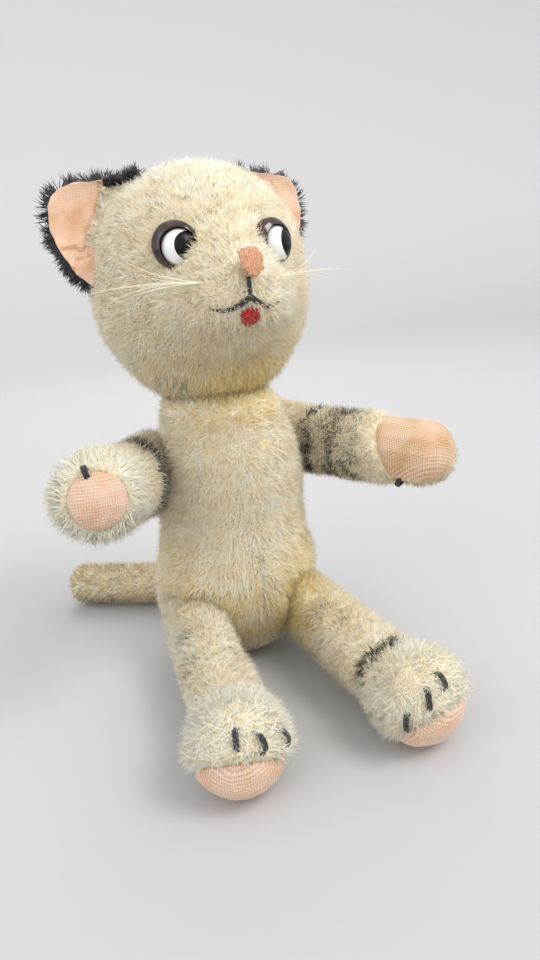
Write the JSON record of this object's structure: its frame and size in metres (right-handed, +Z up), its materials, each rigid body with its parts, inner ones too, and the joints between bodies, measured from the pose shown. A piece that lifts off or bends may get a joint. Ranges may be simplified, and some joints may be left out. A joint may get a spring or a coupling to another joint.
{
  "type": "jointed plush cat",
  "caption": "Jointed plush cat in cream mohair with black stripes, seated, with swivelling head, arms, legs and tail, side-glancing eyes and woven paw pads.",
  "frame": {"origin": "on the ground under the middle of the body, with the cat sitting", "axes": "+Z up, -Y the way the cat faces, +X towards the cat's own left"},
  "size_m": [0.1229, 0.1562, 0.1608],
  "materials": {
    "cream_mohair": "mohair plush, short cream pile with faint staining and black stripes",
    "black_mohair": "mohair plush, black",
    "velveteen": "woven velveteen, worn pinkish tan",
    "stuffing": "packed wood wool and cotton",
    "black_thread": "twisted cotton thread, black",
    "salmon_thread": "twisted cotton thread, salmon",
    "red_felt": "wool felt, red",
    "nylon": "nylon monofilament, cream",
    "brown_plastic": "polished, dark brown",
    "white_plastic": "polished, white",
    "black_plastic": "polished, black",
    "fibreboard": "pressed fibreboard",
    "steel": "plain steel wire"
  },
  "bodies": {
    "body": {"body_cover": "cream_mohair", "body_stuffing": "stuffing", "hip_left_disc_inner": "fibreboard", "hip_right_disc_inner": "fibreboard", "neck_disc_inner": "fibreboard", "shoulder_left_disc_inner": "fibreboard", "shoulder_right_disc_inner": "fibreboard"},
    "head": {"ear_back_left": "black_mohair", "ear_back_right": "black_mohair", "ear_lining_left": "velveteen", "ear_lining_right": "velveteen", "eye_ball_left": "white_plastic", "eye_ball_right": "white_plastic", "eye_lid_left": "brown_plastic", "eye_lid_right": "brown_plastic", "eye_pupil_left": "black_plastic", "eye_pupil_right": "black_plastic", "head_cover": "cream_mohair", "head_stuffing": "stuffing", "mouth_stitching": "black_thread", "neck_disc_outer": "fibreboard", "neck_pin": "steel", "nose_stitching": "salmon_thread", "tongue": "red_felt", "whiskers_left": "nylon", "whiskers_right": "nylon"},
    "arm_left": {"arm_left_cover": "cream_mohair", "arm_left_stuffing": "stuffing", "palm_pad_left": "velveteen", "paw_claw_left": "black_thread", "shoulder_left_disc_outer": "fibreboard", "shoulder_left_pin": "steel"},
    "arm_right": {"arm_right_cover": "cream_mohair", "arm_right_stuffing": "stuffing", "palm_pad_right": "velveteen", "paw_claw_right": "black_thread", "shoulder_right_disc_outer": "fibreboard", "shoulder_right_pin": "steel"},
    "leg_left": {"foot_claw_left_1": "black_thread", "foot_claw_left_2": "black_thread", "foot_claw_left_3": "black_thread", "hip_left_disc_outer": "fibreboard", "hip_left_pin": "steel", "leg_left_cover": "cream_mohair", "leg_left_stuffing": "stuffing", "sole_pad_left": "velveteen"},
    "leg_right": {"foot_claw_right_1": "black_thread", "foot_claw_right_2": "black_thread", "foot_claw_right_3": "black_thread", "hip_right_disc_outer": "fibreboard", "hip_right_pin": "steel", "leg_right_cover": "cream_mohair", "leg_right_stuffing": "stuffing", "sole_pad_right": "velveteen"},
    "tail": {"tail_cover": "cream_mohair", "tail_stuffing": "stuffing"}
  },
  "joints": [
    {"name": "neck", "type": "hinge", "parent": "body", "child": "head", "pos_m": [0, 0.0015, 0.095], "axis": [0, 0, 1], "continuous": true},
    {"name": "shoulder_left", "type": "hinge", "parent": "body", "child": "arm_left", "pos_m": [0.01702, 0.01073, 0.07147], "axis": [-0.8259, -0.5364, -0.1736], "range_deg": [-60, 40]},
    {"name": "shoulder_right", "type": "hinge", "parent": "body", "child": "arm_right", "pos_m": [-0.01823, 0.00609, 0.06647], "axis": [-0.9366, 0.3043, 0.1736], "range_deg": [-85, 40]},
    {"name": "hip_left", "type": "hinge", "parent": "body", "child": "leg_left", "pos_m": [0.0166, -0.0103, 0.018], "axis": [-0.9848, -0.1736, 0], "range_deg": [-80, 10]},
    {"name": "hip_right", "type": "hinge", "parent": "body", "child": "leg_right", "pos_m": [-0.0166, -0.0103, 0.018], "axis": [-0.9962, 0.0872, 0], "range_deg": [-80, 10]},
    {"name": "tail_swing", "type": "hinge", "parent": "body", "child": "tail", "pos_m": [0.0005, 0.0336, 0.0095], "axis": [0, 0, -1], "range_deg": [-25, 120]}
  ]
}
